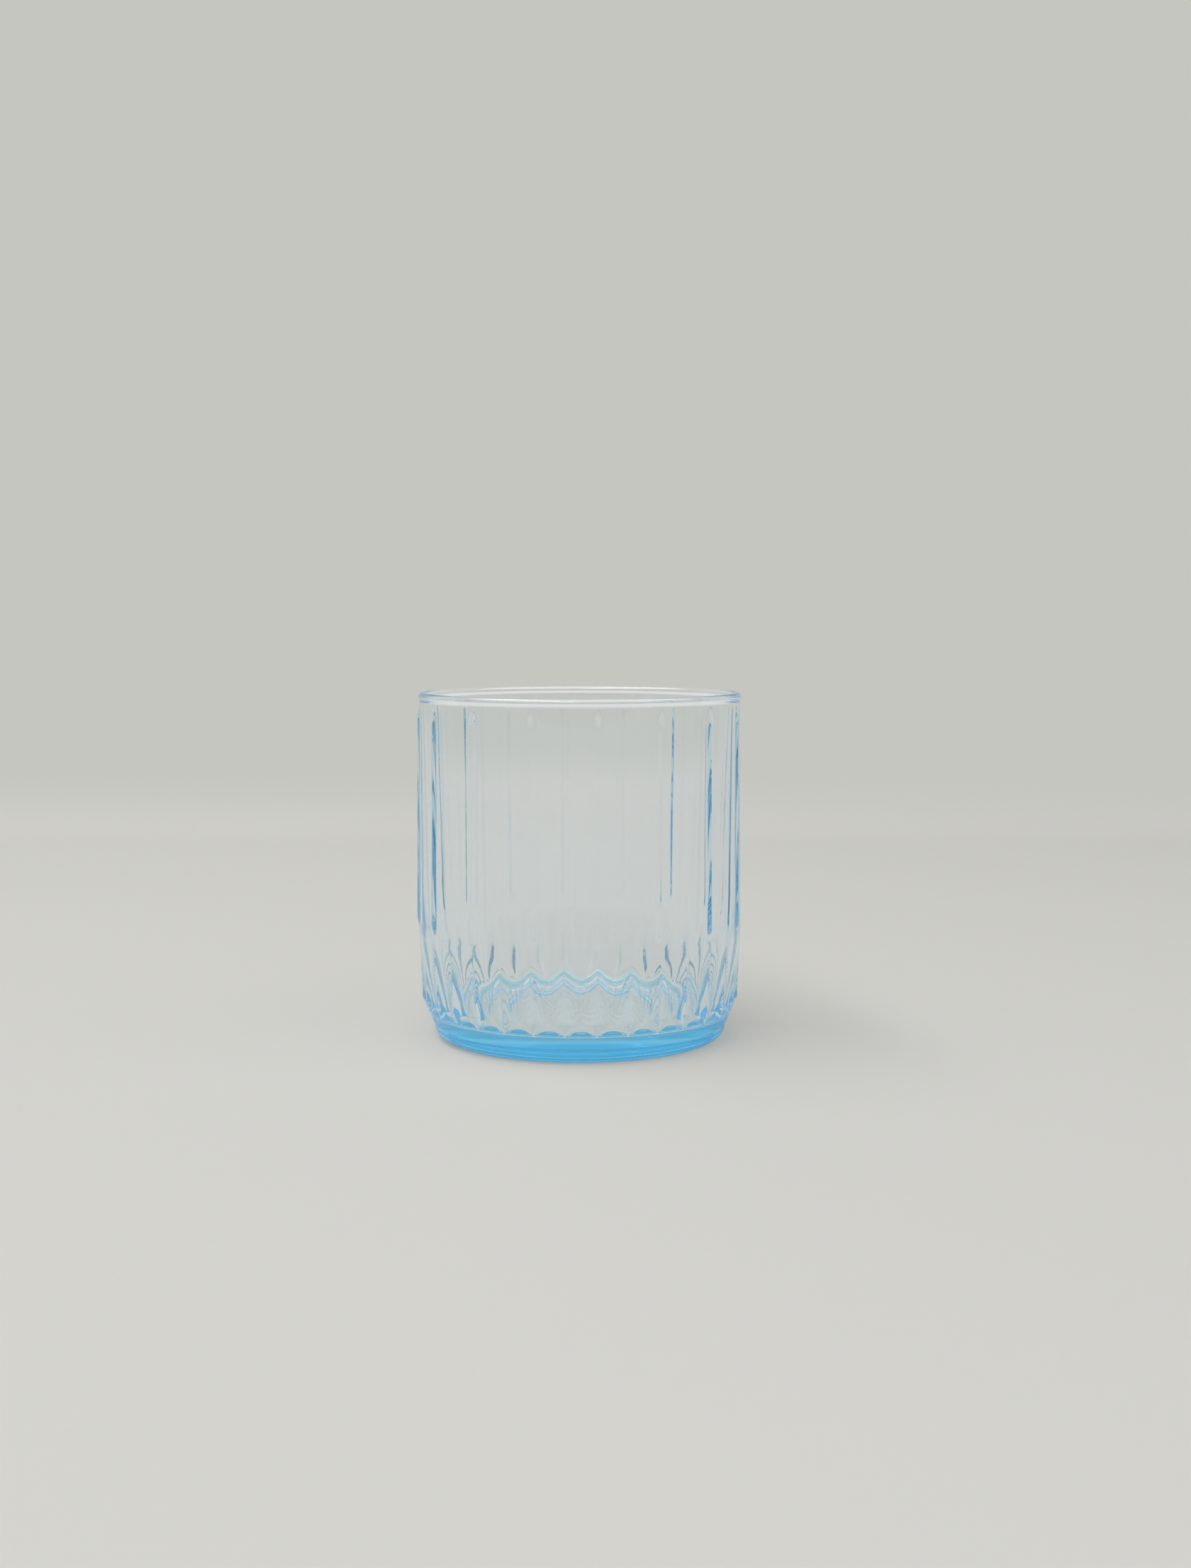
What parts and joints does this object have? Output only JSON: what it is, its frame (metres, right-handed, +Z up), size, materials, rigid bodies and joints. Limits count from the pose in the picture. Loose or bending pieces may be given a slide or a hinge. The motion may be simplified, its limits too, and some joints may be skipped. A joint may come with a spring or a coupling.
{
  "type": "juice glass",
  "caption": "Short straight-sided tumbler of pale blue pressed glass with slim upright ribs, a fluted heel, a rounded lip and a thick base on a rounded foot.",
  "frame": {"origin": "centre of the ring on which the glass stands, on the table plane", "axes": "+Z up along the axis of the glass, +X to the right of a viewer who faces it as in the picture, +Y away from that viewer"},
  "size_m": [0.0808, 0.0808, 0.086],
  "materials": {
    "tinted_glass": "fire-polished, clear, tinted blue through its thickness"
  },
  "bodies": {
    "root": {"rim": "tinted_glass", "ribbed_wall": "tinted_glass", "fluted_heel": "tinted_glass", "base": "tinted_glass"}
  },
  "joints": []
}
